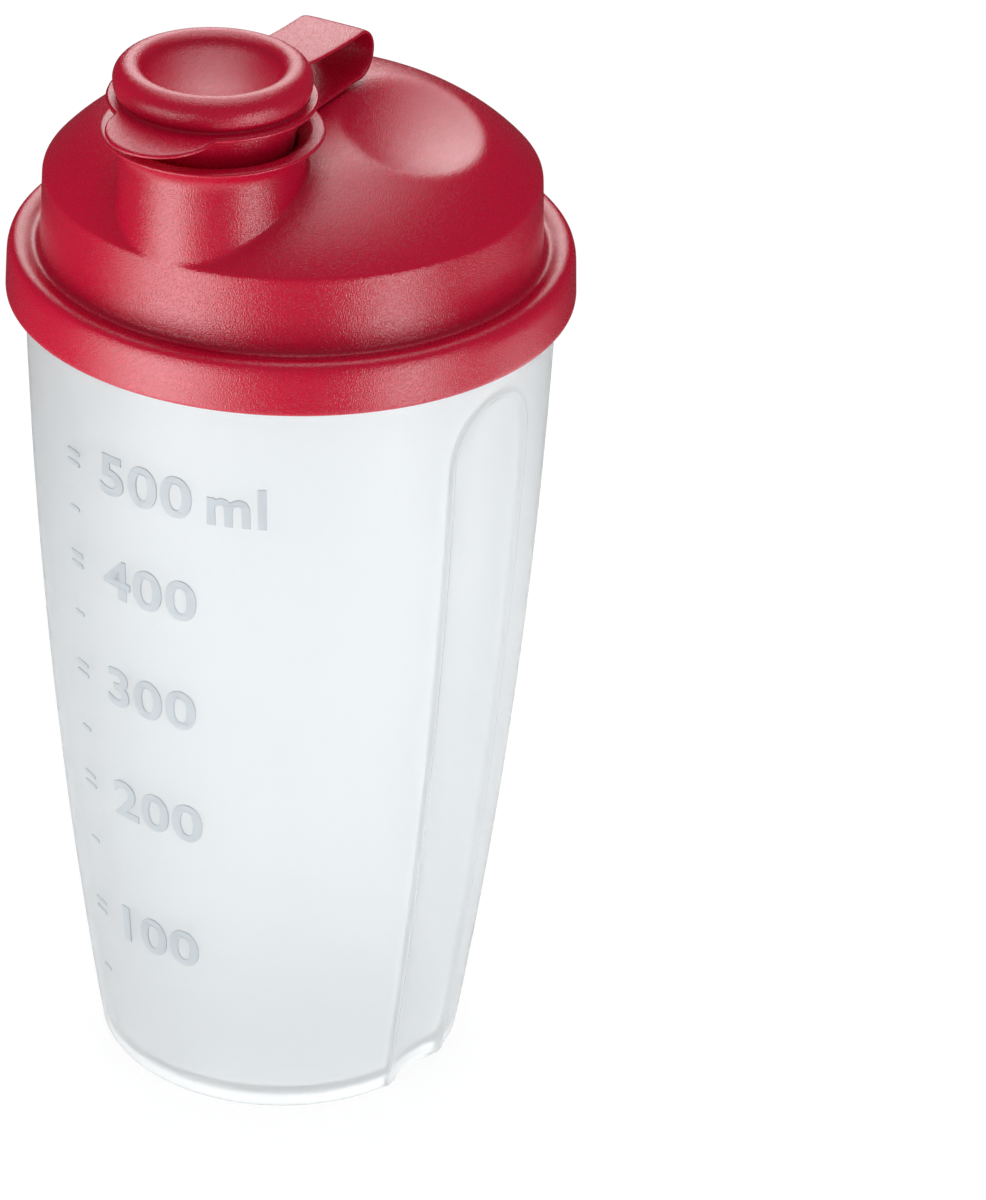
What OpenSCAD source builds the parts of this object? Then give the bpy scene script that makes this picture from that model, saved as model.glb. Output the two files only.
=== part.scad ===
// Shaker bottle for salad dressing: a tapered translucent cup with two grips, a press-on lid
// with a pouring spout, a captive flip cap on a folded strap, and a sieve under the lid.
// Millimetres. Origin at the centre of the foot, Z up, the spout towards -Y.

/* [Cup] */
// Height of the cup to the top of its rim
cup_h = 148; // [120:1:180]
// Radius of the cup at the foot
foot_r = 31; // [28:0.1:34]
// Radius of the cup just below the rim
mouth_r = 43; // [42:0.1:46]
// How far the side bows out from a straight taper
cup_bow = 2.45; // [1:0.05:4]
// Wall thickness of the cup
cup_wall = 1.4; // [1:0.1:2]
// Radius of the round bead at the rim
rim_bead_r = 0.95; // [0.8:0.05:1.2]
// Height of the hollow under the floor
floor_lift = 2.4; // [1:0.1:5]
// Thickness of the floor
floor_t = 1.4; // [1:0.1:2.5]
// Height of the rounding at the foot
foot_round = 0.8; // [0.3:0.1:1.5]

/* [Grips] */
// Radius of the round groove that forms each grip
grip_r = 22; // [16:0.5:30]
// Depth of the grip at the foot
grip_depth_foot = 2.1; // [1:0.1:3]
// Depth of the grip at its round top
grip_depth_top = 2.9; // [1.5:0.1:3.5]
// Height of the centre of the grip's round top
grip_top_z = 124.5; // [90:0.5:126]
// Turn of the cup's grips against the lid, towards the spout, in degrees
cup_turn = 10; // [0:1:45]

/* [Lid skirt and seal] */
// Gap between the skirt and the bead of the cup's rim
skirt_gap = 0.25; // [0.15:0.05:0.6]
// Height of the skirt below the rim's crest
skirt_h = 8.6; // [7:0.1:12]
// Inward lean of the skirt's outer face over its height
skirt_draft = 0.3; // [0:0.05:0.6]
// Radius of the skirt's upper corner
skirt_round = 1.85; // [1:0.05:2.5]
// Wall thickness of the skirt
skirt_wall = 1.5; // [1:0.1:1.6]
// Gap between the cup's rim and the lid above it
rim_gap = 0.4; // [0.2:0.1:1]
// Thickness of the lid over the cup's rim
roof_t = 1.65; // [1.4:0.05:2.5]
// Depth of the groove at the foot of the band
groove_depth = 0.8; // [0.4:0.1:1.2]
// Gap between the sealing ring and the inside of the cup
seal_gap = 0.3; // [0.2:0.05:0.5]
// Depth that the sealing ring reaches into the cup
seal_depth = 6.8; // [4:0.1:9]
// Thickness of the sealing ring
seal_t = 1.5; // [1.2:0.1:2]

/* [Lid band and dome] */
// How far the band stands inside the cup's mouth
band_inset = 2.6; // [2.2:0.1:3.4]
// Height of the band
band_h = 11.5; // [8:0.5:14]
// Inward lean of the band over its height
band_draft = 0.5; // [0:0.1:1]
// Wall thickness of the band and dome
lid_wall = 1.6; // [1.2:0.1:2]
// Rise of the dome above the band
dome_rise = 12.4; // [11:0.1:14]
// Radius of the dome's shoulder
shoulder_r = 34; // [26:0.5:38]
// Radius of the dome's crown
crown_r = 150; // [120:5:220]

/* [Finger dents] */
// Distance of each dent's centre to the side
dent_x = 21.9; // [20:0.1:23]
// Distance of each dent's centre behind the middle
dent_y = 8.7; // [4:0.1:11]
// Depth of the dent
dent_depth = 3.4; // [2:0.1:3.8]
// Radius of the dent's hollow along its length
dent_long_r = 61; // [40:1:70]
// Radius of the dent's hollow across
dent_wide_r = 30.5; // [20:0.5:34]
// Turn of the dent's length from straight back towards the strap, in degrees
dent_turn = 32; // [0:1:40]
// Outward lean of the dent, in degrees
dent_lean = -4; // [-8:0.5:8]

/* [Spout] */
// How far the spout's front stands inside the band
spout_inset = 0.5; // [0.4:0.1:3]
// Height of the lip above the crown of the dome
lip_rise = 4.7; // [3:0.1:8]
// Outer radius of the spout below its lip
spout_r = 14.4; // [14.2:0.1:15]
// Draft of the spout's wall, in degrees
spout_draft = 1.3; // [0:0.1:2]
// Wall thickness of the spout below its lip
spout_wall = 1.3; // [1.2:0.1:2]
// Width of the pouring lip beyond the spout
lip_out = 3.1; // [2.4:0.1:4]
// Thickness of the pouring lip at its rim
lip_t = 0.9; // [0.7:0.1:1.4]
// How much the flared mouth is wider than the bore
mouth_flare = 2.1; // [1.5:0.1:2.8]
// Height of the flare inside the mouth
flare_h = 1.8; // [1:0.1:2.5]

/* [Cap] */
// Gap between the lip and the cap's flange
flange_gap = 4.6; // [3:0.1:6]
// Width of the flange beyond the cap's body
flange_out = 1; // [0.8:0.1:2]
// Thickness of the flange and the thumb tab
flange_t = 0.8; // [0.6:0.1:1.2]
// Height of the cap's body above the flange
cap_h = 5.3; // [5:0.1:8]
// How much the cap's body is wider than the spout
cap_out = 1; // [0.7:0.1:1.8]
// Radius of the cap's rounded rim
cap_round = 2.6; // [2:0.1:2.8]
// Depth of the dish below the crest of the rim
dish_depth = 5; // [3:0.1:5.2]
// Radius of the thumb tab's round end
tab_r = 8.9; // [7:0.1:12]
// Reach of the thumb tab beyond the flange
tab_out = 6.8; // [4:0.1:9]
// Droop of the thumb tab, in degrees
tab_droop = 4; // [0:0.5:8]
// Wall thickness of the cap
cap_wall = 1.3; // [1:0.1:1.5]

/* [Plug] */
// Depth that the plug reaches below the lip
plug_depth = 4.2; // [3:0.1:4.5]
// Gap between the plug and the bore
plug_gap = 0.3; // [0.2:0.05:0.5]
// How much wider the plug is at its shoulder than the bore
plug_shoulder = 0.9; // [0.5:0.1:1.1]
// How much narrower the plug is at its end
plug_taper = 0.5; // [0.4:0.1:0.8]

/* [Strap] */
// Width of the strap
strap_w = 11.6; // [8:0.1:13]
// Thickness of the strap
strap_t = 0.85; // [0.6:0.05:1.2]
// Radius of the strap's fold, to the middle of its thickness
fold_r = 3.8; // [3.4:0.1:4.2]
// Distance of the fold's centre behind the middle
fold_y = 11.1; // [7:0.1:13]
// Gap between the strap's lower run and the dome's crown
strap_lift = 0.15; // [0.1:0.05:1]
// Radius of the strap's upper run as it rises to the cap
strap_rise_r = 140; // [110:5:200]
// Gap at each end of the strap, where it is moulded on
strap_gap = 0.1; // [0.05:0.05:0.2]

/* [Sieve] */
// Gap between the sieve and the sealing ring that holds it
sieve_gap = 0.3; // [0.1:0.05:0.5]
// Height of the sieve's ring
sieve_h = 5.4; // [4:0.1:6]
// Wall thickness of the sieve's ring
sieve_wall = 1.2; // [1:0.1:1.6]
// Thickness of the sieve's plate
sieve_t = 1.4; // [1:0.1:2]
// Gap between the sieve's upper edge and the step inside the lid
sieve_seat_gap = 0.3; // [0.1:0.05:0.5]
// Rise of the sieve's domed middle
sieve_rise = 2.4; // [1:0.1:3]
// Width of the sieve's slots
slot_w = 3; // [2:0.1:3.5]
// Length of the sieve's slots
slot_l = 7.5; // [5:0.1:8]
// Slots in each ring, from the middle out
slot_counts = [6, 12, 18];
// Radius of the middle of each ring of slots
slot_rings = [9.5, 19.5, 29.5];

/* [Hidden] */
// Smoothness of round shapes, and steps along a curved outline
$fn = 96;
steps = 14;
// Slack that carries a cut past a face
eps = 0.02;
milky = [0.93, 0.95, 0.97, 0.7];
crimson = [0.72, 0.06, 0.13];
deep_crimson = [0.6, 0.04, 0.1];
// Half of the square that trims a profile or a solid
reach = 200;

// Points of a round arc about centre c, from angle a0 to a1
function arc(c, r, a0, a1, n = steps) =
    [for (i = [0:n]) let (a = a0 + (a1 - a0) * i / n) c + r * [cos(a), sin(a)]];

// Centre and radius of the arc from p to q that bows out by s on the right-hand side
function bow_radius(p, q, s) = (pow(norm(q - p) / 2, 2) + s * s) / (2 * s);
function bow_centre(p, q, s) =
    let (u = (q - p) / norm(q - p), out = [u[1], -u[0]])
    (p + q) / 2 - (bow_radius(p, q, s) - s) * out;
function angle_of(v) = atan2(v[1], v[0]);

// Where two circles meet, on the side with the smaller radius from the axis
function circles_meet(p, rp, q, rq) =
    let (d = norm(q - p), a = (rp * rp - rq * rq + d * d) / (2 * d),
         h = sqrt(rp * rp - a * a), u = (q - p) / d)
    p + a * u + h * [-u[1], u[0]];

// Cup
cup_foot = [foot_r, 0];
cup_top = [mouth_r, cup_h - rim_bead_r];
side_c = bow_centre(cup_foot, cup_top, cup_bow);
side_r = bow_radius(cup_foot, cup_top, cup_bow);
side_a0 = angle_of(cup_foot - side_c);
side_a1 = angle_of(cup_top - side_c);
// Radius of the cup's side at height z
function cup_r_at(z) = side_c[0] + sqrt(side_r * side_r - pow(z - side_c[1], 2));

// Lid
skirt_r = mouth_r + rim_bead_r + skirt_gap + skirt_wall + skirt_draft;
band_r = mouth_r - band_inset;
crest_z = cup_h + rim_gap + roof_t;
skirt_z = crest_z - skirt_h;
channel_z = cup_h + rim_gap;
corner_c = [skirt_r - skirt_draft - skirt_round, crest_z - skirt_round];
groove_z = crest_z - groove_depth;
band_z = crest_z + 0.2;
crease = [band_r - band_draft, band_z + band_h];
crown_z = crease[1] + dome_rise;
crown_c = [0, crown_z - crown_r];
shoulder_c = circles_meet(crown_c, crown_r - shoulder_r, crease, shoulder_r);
shoulder_a = angle_of(crease - shoulder_c);
crown_a = angle_of(shoulder_c - crown_c);
seal_r = cup_r_at(cup_h - seal_depth) - cup_wall - seal_gap;
band_in_r = band_r - lid_wall;
bore_r = spout_r - spout_wall;
mouth_flare_r = bore_r + mouth_flare;
lip_r = spout_r + lip_out;
lip_z = crown_z + lip_rise;
spout_y = crease[0] - spout_r - spout_inset;
spout_foot_z = crease[1] - 6;

// Cap
cap_r = spout_r + cap_out;
flange_r = cap_r + flange_out;
tab_y = flange_r + tab_out - tab_r;
plug_shoulder_r = bore_r + plug_shoulder;
flange_z = lip_z + flange_gap;
cap_top = flange_z + flange_t + cap_h;
rim_c = [cap_r - cap_round, cap_top - cap_round];
rim_a = 155;
dish_edge = rim_c + cap_round * [cos(rim_a), sin(rim_a)];
dish_drop = dish_edge[1] - (cap_top - dish_depth);
dish_mid_r = (pow(dish_edge[0], 2) + pow(dish_drop, 2)) / (2 * dish_drop);
dish_c = [0, cap_top - dish_depth + dish_mid_r];
dish_a = angle_of(dish_edge - dish_c);
plug_z = lip_z - plug_depth;
plug_seat_z = lip_z - 1;

// Strap: heights of the lower run, the fold's centre and the upper run, in the middle of its thickness
strap_low_z = crown_z + strap_lift + strap_t / 2;
fold_z = strap_low_z + fold_r;
strap_high_z = fold_z + fold_r;

// Sieve
sieve_r = seal_r - seal_t - sieve_gap;
sieve_z = channel_z - sieve_seat_gap - sieve_h;
sieve_dome_r = (pow(sieve_r - sieve_wall, 2) + pow(sieve_rise, 2)) / (2 * sieve_rise);

// Groove that follows the cup's side, grown by g, with a round top: one grip, on the +X side
module grip_groove(g) {
    r = grip_r + g;
    low = [cup_r_at(0) + grip_r - grip_depth_foot, 0];
    high = [cup_r_at(grip_top_z) + grip_r - grip_depth_top, grip_top_z];
    bow = cup_bow * pow(grip_top_z / cup_h, 2);
    c = bow_centre(low, high, bow);
    path_r = bow_radius(low, high, bow);
    // The path starts a little below the foot so that the groove runs out through it
    a0 = angle_of(low - c) - 1;
    a1 = angle_of(high - c);
    translate([c[0], 0, c[1]]) rotate([90, 0, 0]) rotate([0, 0, a0])
        rotate_extrude(angle = a1 - a0, $fn = 3600) translate([path_r, 0]) circle(r = r, $fn = 96);
    translate([high[0], 0, high[1]]) sphere(r = r, $fn = 192);
}

module both_grips(g) {
    for (side = [0, 180]) rotate([0, 0, side - cup_turn]) grip_groove(g);
}

module cup() {
    outer = arc(side_c, side_r, side_a0, side_a1, 24);
    inner = [for (p = outer) [p[0] - cup_wall, p[1]]];
    foot_in_r = foot_r - cup_wall - 0.2;
    color(milky) difference() {
        union() {
            difference() {
                rotate_extrude() polygon(concat([[0, 0], [foot_r - foot_round, 0], [cup_r_at(foot_round), foot_round]],
                    [for (p = outer) if (p[1] > foot_round) p], [[mouth_r - cup_wall, cup_h - rim_bead_r], [0, cup_h - rim_bead_r]]));
                both_grips(0);
            }
            rotate_extrude() translate([mouth_r - cup_wall / 2, cup_h - rim_bead_r]) {
                translate([cup_wall / 2, 0]) circle(r = rim_bead_r, $fn = 48);
                translate([-cup_wall / 2, -rim_bead_r]) square([cup_wall, 2 * rim_bead_r]);
            }
        }
        difference() {
            rotate_extrude() polygon(concat([[0, floor_lift + floor_t],
                [cup_r_at(floor_lift + floor_t) - cup_wall - foot_round, floor_lift + floor_t],
                [cup_r_at(floor_lift + floor_t + foot_round) - cup_wall, floor_lift + floor_t + foot_round]],
                [for (p = inner) if (p[1] > floor_lift + floor_t + foot_round) p],
                [[mouth_r - cup_wall, cup_h + 1], [0, cup_h + 1]]));
            both_grips(cup_wall);
        }
        difference() {
            translate([0, 0, -1]) cylinder(r = foot_in_r, h = 1 + floor_lift);
            both_grips(cup_wall);
        }
    }
}

// Outline of the lid's outer face from the skirt's edge to the crown, joined to the axis
module lid_outer() {
    rotate_extrude() polygon(concat(
        [[0, skirt_z], [skirt_r, skirt_z]],
        arc(corner_c, skirt_round, 0, 90, 8),
        [[band_r + 1.2, groove_z], [band_r + 0.4, groove_z + 0.1], [band_r, band_z], crease],
        arc(shoulder_c, shoulder_r, shoulder_a, crown_a),
        arc(crown_c, crown_r, crown_a, 90)));
}

// Space inside the lid: the dome's hollow and the mouth of the sealing ring
module lid_inner() {
    rotate_extrude() polygon(concat(
        [[0, skirt_z - 1], [seal_r - seal_t, skirt_z - 1], [seal_r - seal_t, channel_z], [band_in_r, band_z + 0.5]],
        arc(shoulder_c, shoulder_r - lid_wall, shoulder_a, crown_a),
        arc(crown_c, crown_r - lid_wall, crown_a, 90)));
}

// Channel that takes the cup's rim, between the sealing ring and the skirt
module rim_channel() {
    seal_end = cup_h - seal_depth;
    rotate_extrude() polygon([[seal_r, seal_end], [seal_r + 0.15, channel_z],
        [skirt_r - skirt_draft - skirt_wall, channel_z], [skirt_r - skirt_wall, skirt_z - 1],
        [seal_r - seal_t - eps, skirt_z - 1], [seal_r - seal_t - eps, seal_end]]);
}

// Rounded body that scoops one long dent out of the dome on the +X side, grown by g
module dent(g) {
    out = norm([dent_x, dent_y]);
    top_z = crown_c[1] + sqrt(crown_r * crown_r - out * out);
    translate([dent_x, dent_y, top_z])
        rotate([-dent_lean * dent_y / out, dent_lean * dent_x / out, 90 + dent_turn])
        translate([0, 0, dent_long_r - dent_depth]) rotate([90, 0, 0])
        rotate_extrude() intersection() {
            translate([dent_long_r - dent_wide_r, 0]) circle(r = dent_wide_r + g);
            translate([0, -dent_wide_r * 0.7]) square([dent_long_r + 2 * g, dent_wide_r * 1.4]);
        }
}

module both_dents(g) {
    dent(g);
    mirror([1, 0, 0]) dent(g);
}

module lip() {
    under = lip_z - lip_t;
    translate([0, -spout_y, 0]) rotate_extrude() polygon([
        [spout_r - 1, under - 2.4], [spout_r, under - 2.2], [spout_r + 0.8, under - 1.2], [lip_r - 1.2, under - 0.2],
        [lip_r - 0.1, under + 0.1], [lip_r, under + 0.4], [lip_r - 0.1, lip_z - 0.1], [lip_r - 0.3, lip_z],
        [spout_r - 1, lip_z]]);
}

module lid() {
    column_h = lip_z - lip_t - spout_foot_z;
    color(crimson) difference() {
        union() {
            difference() {
                lid_outer();
                both_dents(0);
            }
            translate([0, -spout_y, spout_foot_z])
                cylinder(r1 = spout_r + column_h * tan(spout_draft), r2 = spout_r, h = column_h);
            lip();
        }
        difference() {
            lid_inner();
            both_dents(lid_wall);
        }
        rim_channel();
        // Bore of the spout and its flared mouth
        translate([0, -spout_y, spout_foot_z]) cylinder(r = bore_r, h = reach);
        translate([0, -spout_y, lip_z - flare_h])
            cylinder(r1 = bore_r, r2 = mouth_flare_r + (mouth_flare_r - bore_r) * eps / flare_h, h = flare_h + eps);
    }
}

module strap() {
    lip_back = -spout_y + spout_r;
    color(deep_crimson) difference() {
        rotate([90, 0, 90]) linear_extrude(strap_w, center = true) {
            // Lower run, moulded to the back of the spout
            translate([lip_back - 2, strap_low_z - strap_t / 2]) square([fold_y - lip_back + 2, strap_t]);
            // Fold
            intersection() {
                translate([fold_y, fold_z]) difference() {
                    circle(r = fold_r + strap_t / 2);
                    circle(r = fold_r - strap_t / 2);
                }
                translate([fold_y, fold_z - reach / 2]) square(reach);
            }
            // Upper run, which rises to the cap's flange
            intersection() {
                translate([fold_y, strap_high_z + strap_rise_r]) difference() {
                    circle(r = strap_rise_r + strap_t / 2, $fn = 360);
                    circle(r = strap_rise_r - strap_t / 2, $fn = 360);
                }
                translate([-spout_y + flange_r - 3, fold_z]) square([fold_y + spout_y - flange_r + 3, 2 * fold_r]);
            }
        }
        translate([0, -spout_y, crown_z - 1]) cylinder(r = spout_r + 0.2 + strap_gap, h = 4);
        translate([0, -spout_y, flange_z - 2]) cylinder(r = flange_r + strap_gap, h = 6);
    }
}

module cap() {
    wall = cap_wall;
    color(crimson) {
        translate([0, -spout_y, 0]) rotate_extrude() polygon(concat(
            [[bore_r - plug_gap - plug_taper - wall, plug_z], [bore_r - plug_gap - plug_taper, plug_z],
             [bore_r - plug_gap, plug_seat_z], [plug_shoulder_r, flange_z], [flange_r, flange_z],
             [flange_r, flange_z + flange_t], [cap_r - 0.5, flange_z + flange_t],
             [cap_r - 0.5, flange_z + flange_t + 0.5], [cap_r - 0.1, flange_z + flange_t + 1.5]],
            arc(rim_c, cap_round, 0, rim_a, 12),
            arc(dish_c, dish_mid_r, dish_a, -90),
            // Inside: under the dish, over the hollow rim and down the plug
            arc(dish_c, dish_mid_r + wall, -90, dish_a - 3),
            arc(rim_c, cap_round - wall, 100, 0, 6),
            [[cap_r - 0.6 - wall, flange_z + flange_t + 1.2], [plug_shoulder_r - wall - 0.2, flange_z]]));
        // Thumb tab, which droops from the front of the flange
        difference() {
            translate([0, -spout_y - flange_r + tab_r / 2, flange_z]) rotate([tab_droop, 0, 0])
                translate([0, flange_r - tab_r / 2 - tab_y, 0]) cylinder(r = tab_r, h = flange_t);
            translate([0, -spout_y, flange_z - 3]) cylinder(r = flange_r - 0.5, h = flange_t + 6);
        }
    }
}

module sieve() {
    color(deep_crimson) difference() {
        union() {
            translate([0, 0, sieve_z]) difference() {
                cylinder(r = sieve_r, h = sieve_h);
                translate([0, 0, -1]) cylinder(r = sieve_r - sieve_wall, h = sieve_h + 2);
            }
            // Domed plate, as a shell between two spheres
            intersection() {
                translate([0, 0, sieve_z + sieve_t + sieve_rise - sieve_dome_r]) difference() {
                    sphere(r = sieve_dome_r, $fn = 360);
                    sphere(r = sieve_dome_r - sieve_t, $fn = 360);
                }
                translate([0, 0, sieve_z]) cylinder(r = sieve_r - sieve_wall / 2, h = sieve_h);
            }
        }
        for (k = [0:len(slot_rings) - 1], i = [0:slot_counts[k] - 1])
            rotate([0, 0, 360 * i / slot_counts[k]]) translate([slot_rings[k], 0, sieve_z - 1]) {
                translate([-(slot_l - slot_w) / 2, -slot_w / 2, 0]) cube([slot_l - slot_w, slot_w, sieve_h - 1]);
                for (e = [-1, 1]) translate([e * (slot_l - slot_w) / 2, 0, 0])
                    cylinder(r = slot_w / 2, h = sieve_h - 1, $fn = 32);
            }
    }
}

cup();
lid();
strap();
cap();
sieve();
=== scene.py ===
"""Looks of the dressing shaker: a milky tapered cup with a raised volume scale, and a crimson lid with
a pouring spout, finger dents, a folded strap and a flip cap. Sizes are in millimetres, as in the CAD,
and become metres where a mesh is made. Z is up and the spout points to -Y."""

import math

import bpy
import numpy as np
from mathutils import Matrix, Vector


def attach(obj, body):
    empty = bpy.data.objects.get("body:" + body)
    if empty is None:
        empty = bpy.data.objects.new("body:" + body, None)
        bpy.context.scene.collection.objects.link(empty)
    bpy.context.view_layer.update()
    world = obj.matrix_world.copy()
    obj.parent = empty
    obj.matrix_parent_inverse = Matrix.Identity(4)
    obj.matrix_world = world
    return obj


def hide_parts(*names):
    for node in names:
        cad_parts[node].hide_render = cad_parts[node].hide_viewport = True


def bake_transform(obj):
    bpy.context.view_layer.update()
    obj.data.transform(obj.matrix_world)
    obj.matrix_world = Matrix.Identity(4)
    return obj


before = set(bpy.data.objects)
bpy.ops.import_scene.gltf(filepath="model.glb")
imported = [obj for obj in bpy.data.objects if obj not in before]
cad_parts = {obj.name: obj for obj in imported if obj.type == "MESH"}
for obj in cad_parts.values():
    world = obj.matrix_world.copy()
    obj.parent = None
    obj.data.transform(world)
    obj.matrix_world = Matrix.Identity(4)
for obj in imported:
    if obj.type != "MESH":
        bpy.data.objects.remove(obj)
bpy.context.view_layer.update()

MM = 0.001

# Sizes that the CAD gives, in mm: the cup
CUP_H = 148.0
FOOT_R, MOUTH_R, CUP_BOW = 31.0, 43.0, 2.45
CUP_WALL = 1.4
RIM_BEAD_R = 0.95
FLOOR_LIFT, FLOOR_T = 2.4, 1.4
GRIP_R = 22.0
GRIP_DEPTH_FOOT, GRIP_DEPTH_TOP = 2.1, 2.9
GRIP_TOP_Z = 124.5
CUP_TURN = 10.0

# The lid
CREST_Z, SKIRT_Z, CHANNEL_Z = 150.05, 141.45, 148.4
SKIRT_R, SKIRT_IN_R = 46.0, 44.5
SEAL_R, SEAL_IN_R, SEAL_Z = 41.2, 39.7, 141.2
BAND_R, BAND_Z = 40.4, 150.25
CREASE_R, CREASE_Z = 39.9, 161.75
LID_WALL = 1.6
CROWN_R, SHOULDER_R, CROWN_Z = 150.0, 34.0, 174.15
DENT_X, DENT_Y, DENT_DEPTH = 21.9, 8.7, 3.4
DENT_LONG_R, DENT_WIDE_R, DENT_TURN, DENT_LEAN = 61.0, 30.5, 32.0, -4.0
SPOUT_Y, SPOUT_R, BORE_R = -25.0, 14.4, 13.1
LIP_Z, LIP_R, LIP_T, MOUTH_FLARE_R = 178.85, 17.5, 0.9, 15.2

# The cap
FLANGE_Z, FLANGE_R, FLANGE_T = 183.45, 16.4, 0.8
CAP_TOP, CAP_R, CAP_ROUND, DISH_DEPTH = 189.55, 15.4, 2.6, 5.0
TAB_R, TAB_Y = 8.9, 14.3
PLUG_Z, PLUG_R, PLUG_SHOULDER_R, PLUG_TAPER, CAP_WALL = 174.65, 12.8, 14.0, 0.5, 1.3

# The strap
STRAP_W, STRAP_T = 11.6, 0.85
FOLD_Y, FOLD_Z, FOLD_R = 11.1, 178.525, 3.8
STRAP_RISE_R = 140.0


# Mesh helpers

# A rounded path is worked out at this spacing, and looks this many radii to either side
PATH_STEP = 0.12
ROUNDING_REACH = 3
# The shortest stretch that a rounded path keeps, and how much its points gather at a stretch's two ends
LEAST_STRETCH = 0.6
GATHER = 0.7


def mesh_piece(name, points, faces):
    """A named object of points in mm and faces."""
    mesh = bpy.data.meshes.new(name)
    mesh.from_pydata((np.asarray(points, float) * MM).tolist(), [], faces)
    mesh.validate()
    piece = bpy.data.objects.new(name, mesh)
    bpy.context.scene.collection.objects.link(piece)
    return piece


def grid_piece(name, rows, loop=False, first_pole=None, last_pole=None):
    """A smooth mesh over rows of points in mm, each row a closed ring. A pole closes that end with a fan,
    and loop joins the last row to the first."""
    rows = np.asarray(rows, float)
    m, n = rows.shape[:2]
    points = [rows.reshape(-1, 3)]
    faces = []
    for i in range(m if loop else m - 1):
        a, b = i * n, ((i + 1) % m) * n
        faces += [(a + j, a + (j + 1) % n, b + (j + 1) % n, b + j) for j in range(n)]
    count = m * n
    for pole, row in ((first_pole, 0), (last_pole, m - 1)):
        if pole is None:
            continue
        points.append(np.asarray([pole], float))
        ring = [row * n + j for j in range(n)]
        for j in range(n):
            pair = (ring[(j + 1) % n], ring[j]) if row == 0 else (ring[j], ring[(j + 1) % n])
            faces.append((pair[0], pair[1], count))
        count += 1
    piece = mesh_piece(name, np.concatenate(points), faces)
    piece.data.polygons.foreach_set("use_smooth", [True] * len(piece.data.polygons))
    return piece


def face_outwards(piece):
    """Turns every face of a closed piece outwards."""
    bpy.ops.object.select_all(action="DESELECT")
    piece.select_set(True)
    bpy.context.view_layer.objects.active = piece
    bpy.ops.object.mode_set(mode="EDIT")
    bpy.ops.mesh.select_all(action="SELECT")
    bpy.ops.mesh.normals_make_consistent(inside=False)
    bpy.ops.object.mode_set(mode="OBJECT")


def rounded_path(corners, counts, radius):
    """Points along a path of corners, rounded by about radius: counts gives the points of each stretch
    between the marked corners. corners is a list of (point, marked)."""
    p = np.array([c[0] for c in corners], float)
    marks = [i for i, c in enumerate(corners) if c[1]]
    s = np.concatenate([[0], np.cumsum(np.linalg.norm(np.diff(p, axis=0), axis=1))])
    fine = np.arange(0, s[-1] + PATH_STEP, PATH_STEP)
    dense = np.stack([np.interp(fine, s, p[:, k]) for k in range(3)], -1)
    half = int(ROUNDING_REACH * radius / PATH_STEP) + 1
    kernel = np.exp(-0.5 * (np.arange(-half, half + 1) * PATH_STEP / radius) ** 2)
    kernel /= kernel.sum()
    # Each end is carried on by its own mirror image, so that the rounding doesn't shorten the path
    before = 2 * dense[0] - dense[half:0:-1]
    after = 2 * dense[-1] - dense[-2:-half - 2:-1]
    padded = np.concatenate([before, dense, after])
    soft = np.stack([np.convolve(padded[:, k], kernel, "valid") for k in range(3)], -1)
    edge = s[marks].copy()
    for i in range(1, len(edge) - 1):
        if edge[i + 1] - edge[i] < LEAST_STRETCH:
            middle = (edge[i] + edge[i + 1]) / 2
            edge[i], edge[i + 1] = middle - LEAST_STRETCH / 2, middle + LEAST_STRETCH / 2
    out = []
    for i, n in enumerate(counts):
        t = np.arange(n) / n
        t = t - GATHER * np.sin(2 * np.pi * t) / (2 * np.pi)
        out.append(edge[i] + (edge[i + 1] - edge[i]) * t)
    at = np.concatenate(out + [[edge[-1]]])
    return np.stack([np.interp(at, fine, soft[:, k]) for k in range(3)], -1)


def soft_min(a, b, k):
    """The lesser of a and b, with the corner between them rounded over k."""
    h = np.clip(0.5 + 0.5 * (b - a) / k, 0, 1)
    return b * (1 - h) + a * h - k * h * (1 - h)


def uneven_angles(parts):
    """Angles in radians from parts (start, end, count) in degrees, each stretch without its end."""
    return np.radians(np.concatenate([np.linspace(a, b, n, endpoint=False) for a, b, n in parts]))


# Cup

# A low bead runs along the edge of each grip, and the edge itself is rounded
EDGE_BEAD_H, EDGE_BEAD_W = 0.32, 0.45
GRIP_EDGE_ROUND = 0.25
CLEAR_OF_GRIP = 50.0
# Columns over one grip and the plain side after it, in degrees: they are closer at the grip's edges
GRIP_COLUMNS = [(-20, -4, 48), (-4, 4, 12), (4, 20, 48), (20, 160, 84)]
# The cup's section is a list of (radius, height, walls). walls counts the walls between the scooped
# outer face and the point, and is None where the grips don't reach
UNDERSIDE = [(r, FLOOR_LIFT, None) for r in (6, 14, 22, 27.5)]
FOOT_RING = [(28.8, FLOOR_LIFT - 0.05, 1), (29.2, FLOOR_LIFT - 0.5, 1), (29.4, 1.4, 1), (29.42, 0.25, 1),
             (29.6, 0.04, 1), (29.9, 0, 0), (30.15, 0, 0), (30.55, 0.14, 0), (30.86, 0.42, 0)]
SIDE_START_Z, NECK_Z, SIDE_END_DROP = 0.9, 139.0, 0.9
SIDE_ROWS, NECK_ROWS, COLLAR_ROWS = 70, 44, 6
RIM_BEAD_ROOT = (0.02, 0.75)
RIM_BEAD_ANGLES = [-38, -15, 8, 30, 52, 72, 90]
# Steps in from the mouth's radius and down from its top
MOUTH_EDGE = [(0.7, 0), (1.15, 0.06), (CUP_WALL, 0.4)]
# Steps out from the inner corner's radius and up from the floor
HEEL_IN, HEEL_H = 2.8, 2.6
HEEL = [(0.2, 2.0), (-0.15, 1.1), (-0.75, 0.4), (-1.7, 0.08), (-HEEL_IN, 0)]
FLOOR_RINGS = (24, 18, 11, 5)
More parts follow.
